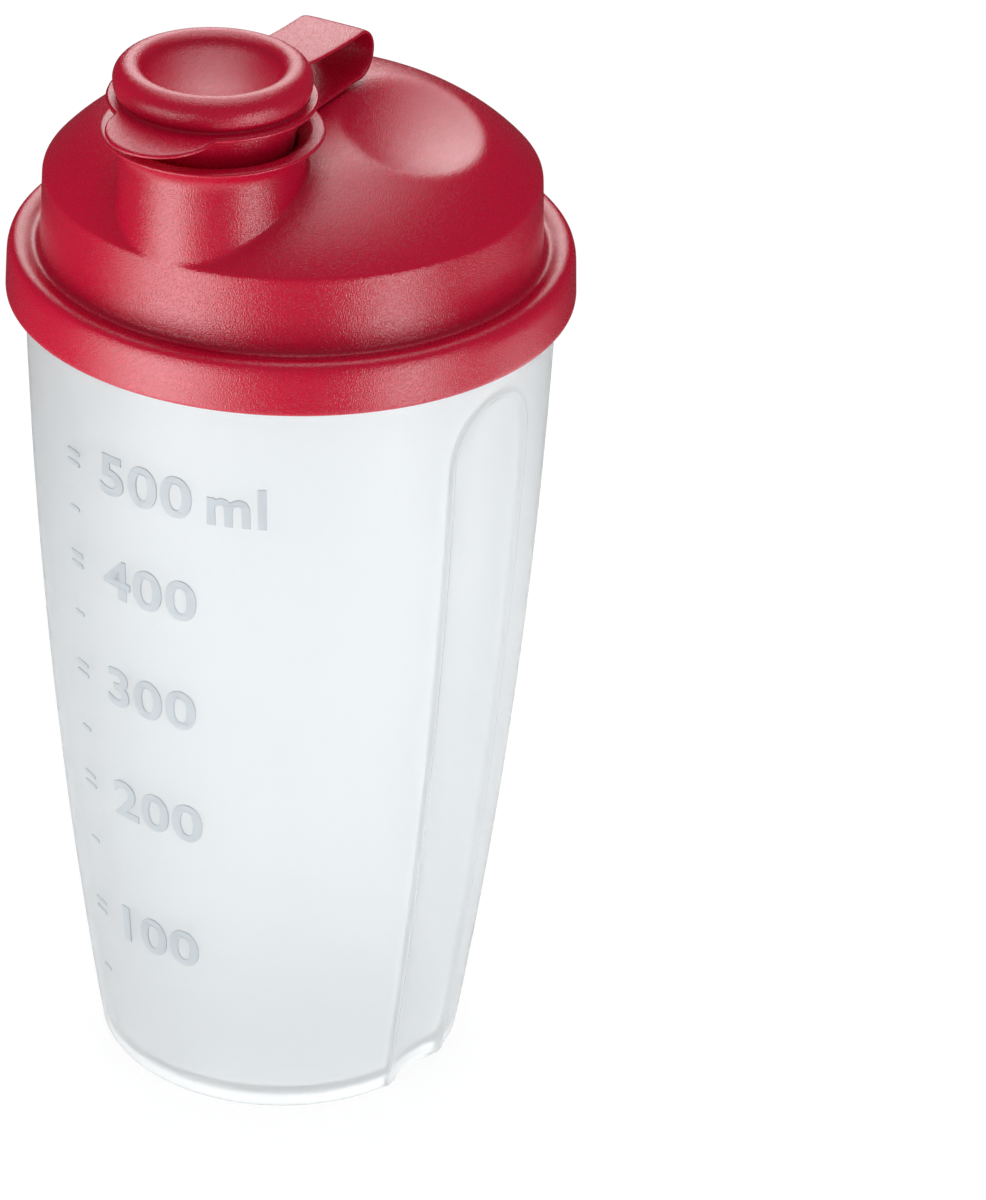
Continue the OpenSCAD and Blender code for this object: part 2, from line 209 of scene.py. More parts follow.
# Flat rings wider than this stay inside the scooped wall, by a gap and a rounding
WIDE_RING_R, WIDE_RING_GAP, WIDE_RING_ROUND = 20, 1.0, 0.5


def bow_arc(p, q, bow):
    """Centre and radius of the arc from p to q that bows out by bow."""
    p, q = np.array(p, float), np.array(q, float)
    length = np.linalg.norm(q - p)
    radius = ((length / 2) ** 2 + bow * bow) / (2 * bow)
    u = (q - p) / length
    return (p + q) / 2 - (radius - bow) * np.array([u[1], -u[0]]), radius


SIDE_C, SIDE_RADIUS = bow_arc((FOOT_R, 0), (MOUTH_R, CUP_H - RIM_BEAD_R), CUP_BOW)


def cup_r_at(z):
    """Radius of the cup's bowed side at a height, without the grips."""
    return SIDE_C[0] + np.sqrt(SIDE_RADIUS ** 2 - (np.asarray(z, float) - SIDE_C[1]) ** 2)


def grip_cut(radius, z, angle, grow=0.0):
    """Radius at height z and angle from the cup's axis after the two grips are scooped out. grow is the
    wall, for the inside and for the foot."""
    out = np.full_like(angle, radius)
    low = min(z, GRIP_TOP_Z)
    depth = GRIP_DEPTH_FOOT + (GRIP_DEPTH_TOP - GRIP_DEPTH_FOOT) * low / GRIP_TOP_Z
    centre = cup_r_at(low) + GRIP_R - depth
    reach = (GRIP_R + grow) ** 2 - max(z - GRIP_TOP_Z, 0) ** 2
    if reach <= 0:
        return out
    for side in (0, math.pi):
        across = centre * np.sin(angle - side)
        ahead = centre * np.cos(angle - side)
        inside = (ahead > 0) & (across ** 2 < reach)
        cut = np.where(inside, ahead - np.sqrt(np.maximum(reach - across ** 2, 0)), radius + CLEAR_OF_GRIP)
        # The bead is on the outside only
        bead = EDGE_BEAD_H * np.exp(-((cut - radius) / EDGE_BEAD_W) ** 2) if grow == 0 else 0
        out = soft_min(out, cut, GRIP_EDGE_ROUND) + bead
    return out


def cup_section(floor_z, corner_r):
    """The cup's section from under the floor, up the outside, over the rim and down to the floor."""
    top = CUP_H - RIM_BEAD_R
    side_z = np.concatenate([np.linspace(SIDE_START_Z, GRIP_TOP_Z, SIDE_ROWS, endpoint=False),
                             np.linspace(GRIP_TOP_Z, NECK_Z, NECK_ROWS, endpoint=False),
                             np.linspace(NECK_Z, top - SIDE_END_DROP, COLLAR_ROWS)])
    side = [(cup_r_at(z), z, 0) for z in side_z]
    bead = [(MOUTH_R - RIM_BEAD_ROOT[0], top - RIM_BEAD_ROOT[1], 0)]
    bead += [(MOUTH_R + RIM_BEAD_R * math.cos(a), top + RIM_BEAD_R * math.sin(a), 0)
             for a in np.radians(RIM_BEAD_ANGLES)]
    mouth = [(MOUTH_R - step, CUP_H - drop, 0) for step, drop in MOUTH_EDGE]
    inner = [(cup_r_at(z) - CUP_WALL, z, 1) for z in side_z[::-1] if z > floor_z + HEEL_H]
    heel = [(corner_r + step, floor_z + rise, 1) for step, rise in HEEL]
    floor = [(r, floor_z, None) for r in FLOOR_RINGS]
    return UNDERSIDE + FOOT_RING + side + bead + mouth + inner + heel + floor


def make_cup():
    angle = uneven_angles(GRIP_COLUMNS + [(a + 180, b + 180, n) for a, b, n in GRIP_COLUMNS])
    floor_z = FLOOR_LIFT + FLOOR_T
    corner_r = cup_r_at(floor_z) - CUP_WALL
    turned = angle - math.radians(CUP_TURN)
    rows = []
    for r, z, walls in cup_section(floor_z, corner_r):
        if walls is not None:
            radius = grip_cut(r, z, angle, CUP_WALL * walls)
        else:
            radius = np.full_like(angle, r)
        if walls is None and r > WIDE_RING_R:
            wall = grip_cut(corner_r - HEEL_IN, z, angle, CUP_WALL)
            radius = soft_min(radius, wall - WIDE_RING_GAP, WIDE_RING_ROUND)
        rows.append(np.stack([radius * np.cos(turned), radius * np.sin(turned), np.full_like(angle, z)], -1))
    cup = grid_piece("cup_shell", rows, first_pole=(0, 0, FLOOR_LIFT), last_pole=(0, 0, floor_z))
    face_outwards(cup)
    return cup


# Volume scale

# Heights of the marks on the cup, in mm: (volume, height)
SCALE = [(500, 122.5), (450, 113.0), (400, 103.4), (350, 93.0), (300, 82.1),
         (250, 70.1), (200, 59.5), (150, 46.8), (100, 32.5), (50, 18.6)]
UNIT_VOLUME = 500
# The marks stand out by this much, and their backs are sunk into the wall
SCALE_RAISE, SCALE_SUNK = 0.13, 0.25
# Direction of the scale's middle from the cup's axis, in degrees
SCALE_ANGLE = -85.0
# Places across, from that middle: the left edges of number and unit, and the middle of the dashes
NUMBER_LEFT, UNIT_LEFT, DASH_X = -14.4, 5.6, -21.2
NUMBER_STRETCH = 1.13
# A digit is this share of the font's size tall
DIGIT_H, DIGIT_SHARE = 7.0, 0.7
WORD_SPACING, WORD_WEIGHT = 1.08, 0.14
WORD_EXTRUDE, WORD_BEVEL = 0.3, 0.1
DASH_H, DASH_SPREAD = 0.9, 1.0
HUNDRED_DASH_W, FIFTY_DASH_W = 3.4, 2.6
# A dash has this many steps round each end, three levels, and a top that is a little smaller
DASH_ROUND = 10
DASH_BACK, DASH_EDGE, DASH_TOP = -0.3, 0.25, 0.4
DASH_TOP_ACROSS, DASH_TOP_UP = 0.93, 0.8
# Points of a flat part above this level stand out of the cup
OUT_LEVEL = 0.2


def wrap_on_cup(points, lift_z, middle_deg):
    """Points drawn flat, x across and y up in mm, laid on the cup's side at a height and angle."""
    z = lift_z + points[:, 1]
    r = cup_r_at(z) + points[:, 2]
    angle = math.radians(middle_deg) + points[:, 0] / cup_r_at(z)
    return np.stack([r * np.cos(angle), r * np.sin(angle), z], -1)


def flat_text(words):
    """Vertices and faces of bold raised words, their left edge and middle height at the origin, in mm."""
    curve = bpy.data.curves.new("words", "FONT")
    curve.body = words
    curve.size = DIGIT_H / DIGIT_SHARE
    curve.space_character = WORD_SPACING
    curve.offset = WORD_WEIGHT
    curve.extrude = WORD_EXTRUDE
    curve.bevel_depth = WORD_BEVEL
    curve.bevel_resolution = 1
    curve.align_y = "CENTER"
    holder = bpy.data.objects.new("words", curve)
    bpy.context.scene.collection.objects.link(holder)
    bpy.context.view_layer.update()
    mesh = bpy.data.meshes.new_from_object(holder.evaluated_get(bpy.context.evaluated_depsgraph_get()))
    points = np.array([v.co for v in mesh.vertices])
    faces = [tuple(f.vertices) for f in mesh.polygons]
    bpy.data.objects.remove(holder)
    bpy.data.curves.remove(curve)
    points[:, 0] -= points[:, 0].min()
    return points, faces


def flat_dash(width, y):
    """Vertices and faces of one raised dash with rounded ends, its middle at x = 0 and height y."""
    half = DASH_H / 2
    ring = []
    for k in range(DASH_ROUND + 1):
        a = -math.pi / 2 + math.pi * k / DASH_ROUND
        ring.append((width / 2 - half + half * math.cos(a), y + half * math.sin(a)))
    ring += [(-px, 2 * y - py) for px, py in ring]
    m = len(ring)
    points = [(px, py, DASH_BACK) for px, py in ring] + [(px, py, DASH_EDGE) for px, py in ring]
    points += [(px * DASH_TOP_ACROSS, y + (py - y) * DASH_TOP_UP, DASH_TOP) for px, py in ring]
    faces = [(i, (i + 1) % m, m + (i + 1) % m, m + i) for i in range(m)]
    faces += [(m + i, m + (i + 1) % m, 2 * m + (i + 1) % m, 2 * m + i) for i in range(m)]
    faces += [tuple(range(2 * m, 3 * m)), tuple(range(m - 1, -1, -1))]
    return np.array(points), faces


def moved(part, x, stretch=1.0):
    """A flat part stretched across, then moved across by x."""
    points, faces = part
    points[:, 0] = x + stretch * points[:, 0]
    return points, faces


def mark_parts(volume):
    """Flat parts of one mark: a number and two dashes for a whole hundred, or else one short dash."""
    if volume % 100:
        return [moved(flat_dash(FIFTY_DASH_W, 0), DASH_X)]
    parts = [moved(flat_text(str(volume)), NUMBER_LEFT, NUMBER_STRETCH)]
    if volume == UNIT_VOLUME:
        parts.append(moved(flat_text("ml"), UNIT_LEFT))
    return parts + [moved(flat_dash(HUNDRED_DASH_W, y), DASH_X) for y in (-DASH_SPREAD, DASH_SPREAD)]


def make_scale():
    points, faces, count = [], [], 0
    for volume, z in SCALE:
        for part, part_faces in mark_parts(volume):
            raised = np.minimum(SCALE_RAISE * (part[:, 2] - OUT_LEVEL) / OUT_LEVEL, SCALE_RAISE)
            part[:, 2] = np.where(part[:, 2] > OUT_LEVEL, raised, -SCALE_SUNK)
            points.append(wrap_on_cup(part, z, SCALE_ANGLE))
            faces += [tuple(i + count for i in face) for face in part_faces]
            count += len(part)
    return mesh_piece("volume_scale", np.concatenate(points), faces)


# Lid

DENT_EDGE_ROUND = 0.9
DENT_STEPS = 5
# The spout's wall widens downwards by this share of its height
SPOUT_SPREAD = 0.0308
# The dome's points start at the radius that the spout's wall has at this height, and the wall ends
# just above the dome
SPOUT_ROOT_Z, SPOUT_ROOT_LIFT = 165.0, 0.2
DOME_STEP, CEILING_STEP, CEILING_GAP = 0.35, 0.8, 0.05
# The lip's outside as (radius from the spout's axis, depth below the lip's top, marked)
LIP_MIDDLE_R, LIP_FLARE_H, MOUTH_FLARE_H = 16.3, 4.4, 1.8
LIP_OUTSIDE = [(LIP_MIDDLE_R, 0, True), (LIP_R - 0.12, 0, False), (LIP_R, 0.15, False),
               (LIP_R, 0.5, True), (16.9, 0.95, False), (16.0, 1.35, False), (15.2, 2.1, False),
               (14.65, 3.1, False)]
# The skirt as (radius from the lid's axis, height, marked): band, groove, rounded shoulder and outer
# face, then the channel for the cup's rim and the sealing ring
SKIRT_OUTSIDE = [(CREASE_R, CREASE_Z, True), (BAND_R, BAND_Z, True), (40.75, 149.35, False),
                 (41.6, 149.2, True), (42.6, 149.75, False), (43.4, 150.0, False),
                 (44.2, CREST_Z, False), (44.9, 149.8, False), (45.4, 149.2, True),
                 (45.7, 148.0, False), (SKIRT_R, SKIRT_Z, True), (SKIRT_IN_R, SKIRT_Z, True),
                 (44.2, CHANNEL_Z, True), (41.35, CHANNEL_Z, True), (SEAL_R, SEAL_Z, True),
                 (SEAL_IN_R, SEAL_Z, True)]
SKIRT_INSIDE = [(SEAL_IN_R, CHANNEL_Z, True), (38.8, BAND_Z + 0.5, True),
                (CREASE_R - LID_WALL, CREASE_Z, True)]
# Points on each stretch between marked corners, once round from the lip's top
STRETCH_COUNTS = [7, 12, 26, 110, 14, 8, 18, 12, 5, 8, 6, 8, 4, 8, 4, 8, 28, 14, 6, 4]
LID_EDGE_ROUND = 0.32
# Columns about the spout's axis, in degrees: they are closest towards the back, where the dents are
LID_COLUMNS = [(-150, -30, 90), (-30, 30, 60), (30, 150, 220), (150, 210, 60)]


def dome_arcs():
    """Centres of the dome's two arcs, in the plane of r and z."""
    crown_c = np.array([0, CROWN_Z - CROWN_R])
    crease = np.array([CREASE_R, CREASE_Z])
    near, far = CROWN_R - SHOULDER_R, SHOULDER_R
    d = np.linalg.norm(crease - crown_c)
    a = (near ** 2 - far ** 2 + d * d) / (2 * d)
    u = (crease - crown_c) / d
    h = math.sqrt(near ** 2 - a * a)
    return crown_c, crown_c + a * u + h * np.array([-u[1], u[0]])


CROWN_C, SHOULDER_C = dome_arcs()


def dent_frame():
    """Place of the dent on the crown, and its axes: along, across and up."""
    out = math.hypot(DENT_X, DENT_Y)
    top = (DENT_X, DENT_Y, CROWN_C[1] + math.sqrt(CROWN_R ** 2 - out ** 2))
    lean = math.radians(DENT_LEAN)
    turn = Matrix.Rotation(math.radians(90 + DENT_TURN), 3, "Z")
    tilt = Matrix.Rotation(lean * DENT_X / out, 3, "Y") @ Matrix.Rotation(-lean * DENT_Y / out, 3, "X")
    return np.array(top), np.array(turn @ tilt)


DENT_PLACE, DENT_AXES = dent_frame()


def dome_z(x, y, inward=0.0):
    """Height of the dome with its two dents, inward below the outer face."""
    x, y = np.asarray(x, float), np.asarray(y, float)
    r = np.hypot(x, y)
    change = CROWN_R * SHOULDER_C[0] / (CROWN_R - SHOULDER_R)
    crown = CROWN_C[1] + np.sqrt(np.maximum((CROWN_R - inward) ** 2 - r * r, 0))
    shoulder = SHOULDER_C[1] + np.sqrt(np.maximum((SHOULDER_R - inward) ** 2 - (r - SHOULDER_C[0]) ** 2, 0))
    dome = np.where(r < change, crown, shoulder)
    # The scoop is a ring-shaped body, and its lower face is found in a few steps
    z = dome.copy()
    for _ in range(DENT_STEPS):
        local = (np.stack([np.abs(x), y, z], -1) - DENT_PLACE) @ DENT_AXES
        across = np.sqrt(np.maximum((DENT_WIDE_R + inward) ** 2 - local[..., 1] ** 2, 0))
        reach = DENT_LONG_R - DENT_WIDE_R + across
        along = np.sqrt(np.maximum(reach ** 2 - local[..., 0] ** 2, 0))
        z = z - (local[..., 2] - (DENT_LONG_R - DENT_DEPTH) + along)
    return soft_min(dome, z, DENT_EDGE_ROUND)


def circle_hit(direction, radius):
    """Distance from the spout's axis to the circle of that radius about the lid's axis."""
    along = SPOUT_Y * direction[1]
    return -along + math.sqrt(radius ** 2 - SPOUT_Y ** 2 + along ** 2)


def column_r(z):
    """Outer radius of the spout's wall at a height."""
    return SPOUT_R + (LIP_Z - LIP_T - z) * SPOUT_SPREAD


def lid_profile(angle):
    """The lid's section through the spout's axis at one angle: corners with marks, all the way round."""
    u = np.array([math.cos(angle), math.sin(angle)])
    foot = np.array([0, SPOUT_Y])

    def at(d, z):
        return (foot[0] + d * u[0], foot[1] + d * u[1], z)

    def about_lid(section, far):
        # The section is turned to where this plane meets the lid's wall
        edge = foot + far * u
        psi = math.atan2(edge[1], edge[0])
        return [((r * math.cos(psi), r * math.sin(psi), z), marked) for r, z, marked in section]

    def on_dome(distances, inward=0.0):
        places = [foot + d * u for d in distances]
        heights = dome_z([p[0] for p in places], [p[1] for p in places], inward) if places else []
        return [((p[0], p[1], z), False) for p, z in zip(places, heights)]

    far, far_in = circle_hit(u, CREASE_R), circle_hit(u, CREASE_R - LID_WALL)
    dome = on_dome(np.arange(column_r(SPOUT_ROOT_Z), far, DOME_STEP))
    root_z = (dome[0][0][2] if dome else CREASE_Z) + SPOUT_ROOT_LIFT
    flare_z = LIP_Z - LIP_FLARE_H
    lip = [(at(r, LIP_Z - depth), marked) for r, depth, marked in LIP_OUTSIDE]
    wall = [(at(column_r(flare_z), flare_z), True), (at(column_r(root_z), root_z), True)]
    skirt = about_lid(SKIRT_OUTSIDE, far) + about_lid(SKIRT_INSIDE, far_in)
    ceiling = on_dome(np.arange(far_in - CEILING_GAP, BORE_R, -CEILING_STEP), LID_WALL)
    roof_z = float(dome_z(*(foot + BORE_R * u), LID_WALL))
    bore = [(at(BORE_R, roof_z), True), (at(BORE_R, LIP_Z - MOUTH_FLARE_H), True),
            (at(MOUTH_FLARE_R, LIP_Z), True), (at(LIP_MIDDLE_R, LIP_Z), True)]
    return lip + wall + dome[1:] + skirt + ceiling[1:] + bore


def make_lid():
    angles = uneven_angles(LID_COLUMNS)
    columns = [rounded_path(lid_profile(a), STRETCH_COUNTS, LID_EDGE_ROUND) for a in angles]
    rows = np.stack(columns, 1)[:-1]
    lid = grid_piece("lid_shell", rows, loop=True)
    face_outwards(lid)
    return lid


# Cap

# Columns about the cap's axis, in degrees from -Y: they are closer where the tab leaves the flange
CAP_COLUMNS = [(-40, -26, 34), (-26, 26, 52), (26, 40, 34), (40, 320, 150)]
TAB_BLEND = 0.8
# The tab bends down over this width, just ahead of the cap's body, to this slope
TAB_BEND_AT, TAB_BEND_W, TAB_SLOPE = 14.5, 1.5, 0.07
# The rolled edge, in degrees of its round: where it meets the dish, and where its own points run
ROLL_MEETS_DISH, ROLL_START, ROLL_ROWS = 155, 150, 28
DISH_SHARES = (0.1, 0.2, 0.3, 0.4, 0.5, 0.6, 0.7, 0.78, 0.85, 0.91, 0.955)
# The wall between rolled edge and flange, as (inward from the cap's radius, above the flange)
BODY_START_IN, BODY_START_DROP = 0.04, 0.6
BODY_WAIST = [(0.15, 1.3), (0.35, 0.85), (0.6, 0.5), (0.7, 0.3), (0.65, 0.12)]
# The flange as (share of its reach, inset, height above its underside)
FLANGE_SECTION = [(0.0, 0, FLANGE_T), (0.12, 0, FLANGE_T), (0.4, 0, FLANGE_T), (0.7, 0, FLANGE_T),
                  (0.9, 0, FLANGE_T), (1.0, 0.3, FLANGE_T - 0.02), (1.0, 0.1, FLANGE_T - 0.12),
                  (1.0, 0.0, FLANGE_T - 0.32), (1.0, 0.0, 0.32), (1.0, 0.1, 0.12), (1.0, 0.3, 0.02),
                  (0.85, 0, 0), (0.55, 0, 0), (0.25, 0, 0)]
# Radii where its upper and lower faces start, and the height that parts the two
FLANGE_TOP_START, FLANGE_UNDER_START, FLANGE_PART_H = CAP_R - 0.45, PLUG_SHOULDER_R + 0.4, 0.3
# Radii under the dish
DISH_UNDER = (10.4, 8.5, 6, 3, 1)


def tab_reach(angle):
    """Distance from the cap's axis to the edge of the flange or the thumb tab, at an angle from -Y."""
    reach = np.full_like(angle, FLANGE_R)
    across = TAB_Y * np.sin(angle)
    hit = (np.abs(across) < TAB_R) & (np.cos(angle) > 0)
    far = TAB_Y * np.cos(angle) + np.sqrt(np.maximum(TAB_R ** 2 - across ** 2, 0))
    far = np.where(hit, far, 0)
    return -soft_min(-reach, -far, TAB_BLEND)


def cap_top_section(rim):
    """Section of the dish, the rolled edge round rim and the wall down to the flange, and the dish's
    radius of curvature."""
    meet = math.radians(ROLL_MEETS_DISH)
    edge = (rim[0] + CAP_ROUND * math.cos(meet), rim[1] + CAP_ROUND * math.sin(meet))
    low = CAP_TOP - DISH_DEPTH
    drop = edge[1] - low
    dish_r = (edge[0] ** 2 + drop ** 2) / (2 * drop)
    dish = [(edge[0] * t, low + dish_r - math.sqrt(dish_r ** 2 - (edge[0] * t) ** 2)) for t in DISH_SHARES]
    roll = [(rim[0] + CAP_ROUND * math.cos(a), rim[1] + CAP_ROUND * math.sin(a))
            for a in np.radians(np.linspace(ROLL_START, 0, ROLL_ROWS))]
    body = [(CAP_R - BODY_START_IN, rim[1] - BODY_START_DROP)]
    body += [(CAP_R - step, FLANGE_Z + FLANGE_T + rise) for step, rise in BODY_WAIST]
    return dish + roll + body, dish_r


def plug_section(rim, dish_r):
    """Section of the stepped plug's outside, its hollow and the underside of the dish."""
    tip_r = PLUG_R - PLUG_TAPER
    tip_in = tip_r - CAP_WALL
    outside = [(PLUG_SHOULDER_R + 0.3, FLANGE_Z - 0.02), (PLUG_SHOULDER_R + 0.05, FLANGE_Z - 0.2),
               (PLUG_SHOULDER_R - 0.1, FLANGE_Z - 0.9), (PLUG_R + 0.15, LIP_Z), (PLUG_R, LIP_Z - 1),
               (PLUG_R - PLUG_TAPER * 0.9, PLUG_Z + 0.5), (tip_r - 0.1, PLUG_Z + 0.1), (tip_r - 0.4, PLUG_Z)]
    hollow = [(tip_in + 0.3, PLUG_Z), (tip_in + 0.05, PLUG_Z + 0.2), (12.4, FLANGE_Z), (13.3, FLANGE_Z + 2.2),
              (13.7, rim[1]), (13.3, rim[1] + 1.0), (12.4, rim[1] + 1.25)]
    low = CAP_TOP - DISH_DEPTH - CAP_WALL
    under_r = dish_r + CAP_WALL
    return outside + hollow + [(r, low + under_r - math.sqrt(under_r ** 2 - r * r)) for r in DISH_UNDER]


def make_cap():
    angle = uneven_angles(CAP_COLUMNS)
    reach = tab_reach(angle)
    rim = (CAP_R - CAP_ROUND, CAP_TOP - CAP_ROUND)
    top, dish_r = cap_top_section(rim)

    def ring(r, z):
        r, z = np.broadcast_to(r, angle.shape), np.broadcast_to(z, angle.shape)
        return np.stack([r * np.sin(angle), SPOUT_Y - r * np.cos(angle), z], -1)

    def droop(r):
        ahead = (r * np.cos(angle) - TAB_BEND_AT) / TAB_BEND_W
        return -TAB_SLOPE * TAB_BEND_W * np.log1p(np.exp(np.clip(ahead, -30, 30)))

    rows = [ring(r, z) for r, z in top]
    for share, inset, rise in FLANGE_SECTION:
        start = FLANGE_TOP_START if rise > FLANGE_PART_H else FLANGE_UNDER_START
        r = start + (reach - start) * share - inset
        rows.append(ring(r, FLANGE_Z + rise + droop(r)))
    rows += [ring(r, z) for r, z in plug_section(rim, dish_r)]
    low = CAP_TOP - DISH_DEPTH
    cap = grid_piece("cap_shell", rows, first_pole=(0, SPOUT_Y, low), last_pole=(0, SPOUT_Y, low - CAP_WALL))
    face_outwards(cap)
    return cap


# Strap

LOWER_POINTS, FOLD_POINTS, UPPER_POINTS = 26, 41, 27
# The strap starts just outside the spout's radius and ends inside the flange's
SPOUT_END_OUT, FLANGE_END_IN = 0.25, 0.6
# Its ends widen into the spout's wall and the flange: width, and the length over which it fades
SPOUT_END_FLARE, SPOUT_END_FADE = 1.6, 1.2
FLANGE_END_FLARE, FLANGE_END_FADE = 1.4, 1.0
# A flat band with rounded edges: powers of the section's cosine and sine
BAND_COLUMNS = 40
ACROSS_POWER, THICK_POWER = 0.35, 0.55


def strap_path():
    """Middle line of the strap in the plane of y and z: the lower run, the fold and the upper run."""
    low, high = FOLD_Z - FOLD_R, FOLD_Z + FOLD_R
    start_y = SPOUT_Y + SPOUT_R + SPOUT_END_OUT
    end_y = SPOUT_Y + FLANGE_R - FLANGE_END_IN
    path = [(y, low) for y in np.linspace(start_y, FOLD_Y, LOWER_POINTS, endpoint=False)]
    path += [(FOLD_Y + FOLD_R * math.cos(a), FOLD_Z + FOLD_R * math.sin(a))
             for a in np.radians(np.linspace(-90, 90, FOLD_POINTS))]
    path += [(y, high + STRAP_RISE_R - math.sqrt(STRAP_RISE_R ** 2 - (FOLD_Y - y) ** 2))
             for y in np.linspace(FOLD_Y, end_y, UPPER_POINTS)[1:]]
    return np.array(path)


def make_strap():
    path = strap_path()
    along = np.gradient(path, axis=0)
    along /= np.linalg.norm(along, axis=1)[:, None]
    normal = np.stack([-along[:, 1], along[:, 0]], -1)
    s = np.concatenate([[0], np.cumsum(np.linalg.norm(np.diff(path, axis=0), axis=1))])
    flare = SPOUT_END_FLARE * np.exp(-s / SPOUT_END_FADE)
    flare = flare + FLANGE_END_FLARE * np.exp(-(s[-1] - s) / FLANGE_END_FADE)
    half_w = STRAP_W / 2 + flare
    a = np.linspace(0, 2 * np.pi, BAND_COLUMNS, endpoint=False)
    across = np.sign(np.cos(a)) * np.abs(np.cos(a)) ** ACROSS_POWER
    thick = np.sign(np.sin(a)) * np.abs(np.sin(a)) ** THICK_POWER
    off = thick * STRAP_T / 2
    rows = []
    for k in range(len(path)):
        y, z = path[k, 0] + off * normal[k, 0], path[k, 1] + off * normal[k, 1]
        rows.append(np.stack([across * half_w[k], y, z], -1))
    strap = grid_piece("strap_band", rows, first_pole=(0, *path[0]), last_pole=(0, *path[-1]))
    face_outwards(strap)
    return strap


# Materials

GRAIN_ROUGHNESS = 0.6
# The red plastic's grain: size in mm, the noise levels of its two colours, and its depth in metres
RED_GRAIN, RED_DEPTH = 0.22, 0.0001
RED_LOW, RED_HIGH = 0.36, 0.66
RED_DEEP, RED_BRIGHT = (0.45, 0.0005, 0.022, 1), (0.6, 0.002, 0.036, 1)
# Noise levels between which its roughness changes, and how far it changes from the middle value
ROUGH_LOW, ROUGH_HIGH = 0.3, 0.7
ROUGHER, SMOOTHER = 0.16, 0.04
RED_SHINE = {"IOR": 1.5, "Specular IOR Level": 1.0}
# The milky plastic: clouds in mm, how much darker they get, and the wall's fine relief
CLOUD_SIZE, CLOUD_SHADE = 30.0, 0.985
MILKY_GRAIN, MILKY_RELIEF, MILKY_DEPTH = 0.5, 0.08, 0.00004
MILKY_SHINE = {"Roughness": 0.45, "IOR": 1.45, "Specular IOR Level": 0.45}


def new_material(name):
    material = bpy.data.materials.new(name)
    material.use_nodes = True
    nodes = material.node_tree.nodes
    return material, nodes, material.node_tree.links, nodes["Principled BSDF"]


def set_inputs(node, values):
    """Gives a node's named inputs their plain values."""
    for key, value in values.items():
        node.inputs[key].default_value = value


def grain(nodes, links, size, detail):
    """Noise with grains of a given size in mm, from the object's own coordinates."""
    where = nodes.new("ShaderNodeTexCoord")
    noise = nodes.new("ShaderNodeTexNoise")
    set_inputs(noise, {"Scale": 1 / (size * MM), "Detail": detail, "Roughness": GRAIN_ROUGHNESS})
    links.new(where.outputs["Object"], noise.inputs["Vector"])
    return noise.outputs["Fac"]


def map_range(nodes, links, value, start, end):
    """A value mapped from the range start to the range end, each (low, high)."""
    node = nodes.new("ShaderNodeMapRange")
    set_inputs(node, {"From Min": start[0], "From Max": start[1], "To Min": end[0], "To Max": end[1]})
    links.new(value, node.inputs["Value"])
    return node.outputs["Result"]


def add_colour(nodes, links, shader, value, low, high):
    """The shader's colour along a value. low and high are (value, colour)."""
    ramp = nodes.new("ShaderNodeValToRGB")
    for element, (position, colour) in zip(ramp.color_ramp.elements, (low, high)):
        element.position = position
        element.color = colour
    links.new(value, ramp.inputs["Fac"])
    links.new(ramp.outputs["Color"], shader.inputs["Base Color"])


def add_bump(nodes, links, shader, height, strength, distance):
    bump = nodes.new("ShaderNodeBump")
    set_inputs(bump, {"Strength": strength, "Distance": distance})
    links.new(height, bump.inputs["Height"])
    links.new(bump.outputs["Normal"], shader.inputs["Normal"])


def red_plastic(name, grain_strength, roughness):
    """Crimson polypropylene with a fine eroded grain, which breaks its wide highlights into specks."""
    material, nodes, links, shader = new_material(name)
    fine = grain(nodes, links, RED_GRAIN, 1.0)
    add_colour(nodes, links, shader, fine, (RED_LOW, RED_DEEP), (RED_HIGH, RED_BRIGHT))
    add_bump(nodes, links, shader, fine, grain_strength, RED_DEPTH)
    # The grain's low spots are rougher than its high ones
    ends = (roughness + ROUGHER, roughness - SMOOTHER)
    links.new(map_range(nodes, links, fine, (ROUGH_LOW, ROUGH_HIGH), ends), shader.inputs["Roughness"])
    set_inputs(shader, RED_SHINE)
    return material


def milky_plastic(name, colour, transmission):
    """Milky polypropylene: a rough, nearly white wall, with some light passing through it."""
    material, nodes, links, shader = new_material(name)
    cloud = grain(nodes, links, CLOUD_SIZE, 2.0)
    shaded = tuple(c * CLOUD_SHADE for c in colour)
    add_colour(nodes, links, shader, cloud, (0, shaded + (1,)), (1, colour + (1,)))
    add_bump(nodes, links, shader, grain(nodes, links, MILKY_GRAIN, 2.0), MILKY_RELIEF, MILKY_DEPTH)
    set_inputs(shader, MILKY_SHINE)
    set_inputs(shader, {"Transmission Weight": transmission})
    return material


# Assembly

def dress(piece, body, node, material):
    piece.data.materials.clear()
    piece.data.materials.append(material)
    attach(piece, body)
    if node:
        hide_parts(node)


lid_red = red_plastic("crimson_grained", 0.8, 0.15)
cap_red = red_plastic("crimson_cap", 0.8, 0.16)
strap_red = red_plastic("crimson_strap", 0.8, 0.17)
milky = milky_plastic("milky_polypropylene", (0.955, 0.978, 0.988), 0.88)
mark_milky = milky_plastic("milky_marks", (0.86, 0.9, 0.93), 0.8)

dress(make_cup(), "cup", "cup", milky)
dress(make_scale(), "cup", None, mark_milky)
dress(make_lid(), "lid", "lid", lid_red)
dress(make_cap(), "cap", "cap", cap_red)
strap = make_strap()
strap.data.materials.append(strap_red)
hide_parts("strap")
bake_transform(strap)
for slot_of_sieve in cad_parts["sieve"].material_slots:
    slot_of_sieve.material = cap_red


# Floor, light and camera, in metres

FLOOR_HALF_MM = 4000.0
FLOOR_COLOUR, FLOOR_ROUGHNESS = (0.9, 0.9, 0.9, 1), 0.9
# Share and strength of the plain white that is seen on the floor, directly or through the cup
WHITE_SHARE, WHITE_LEVEL = 0.85, 1.03
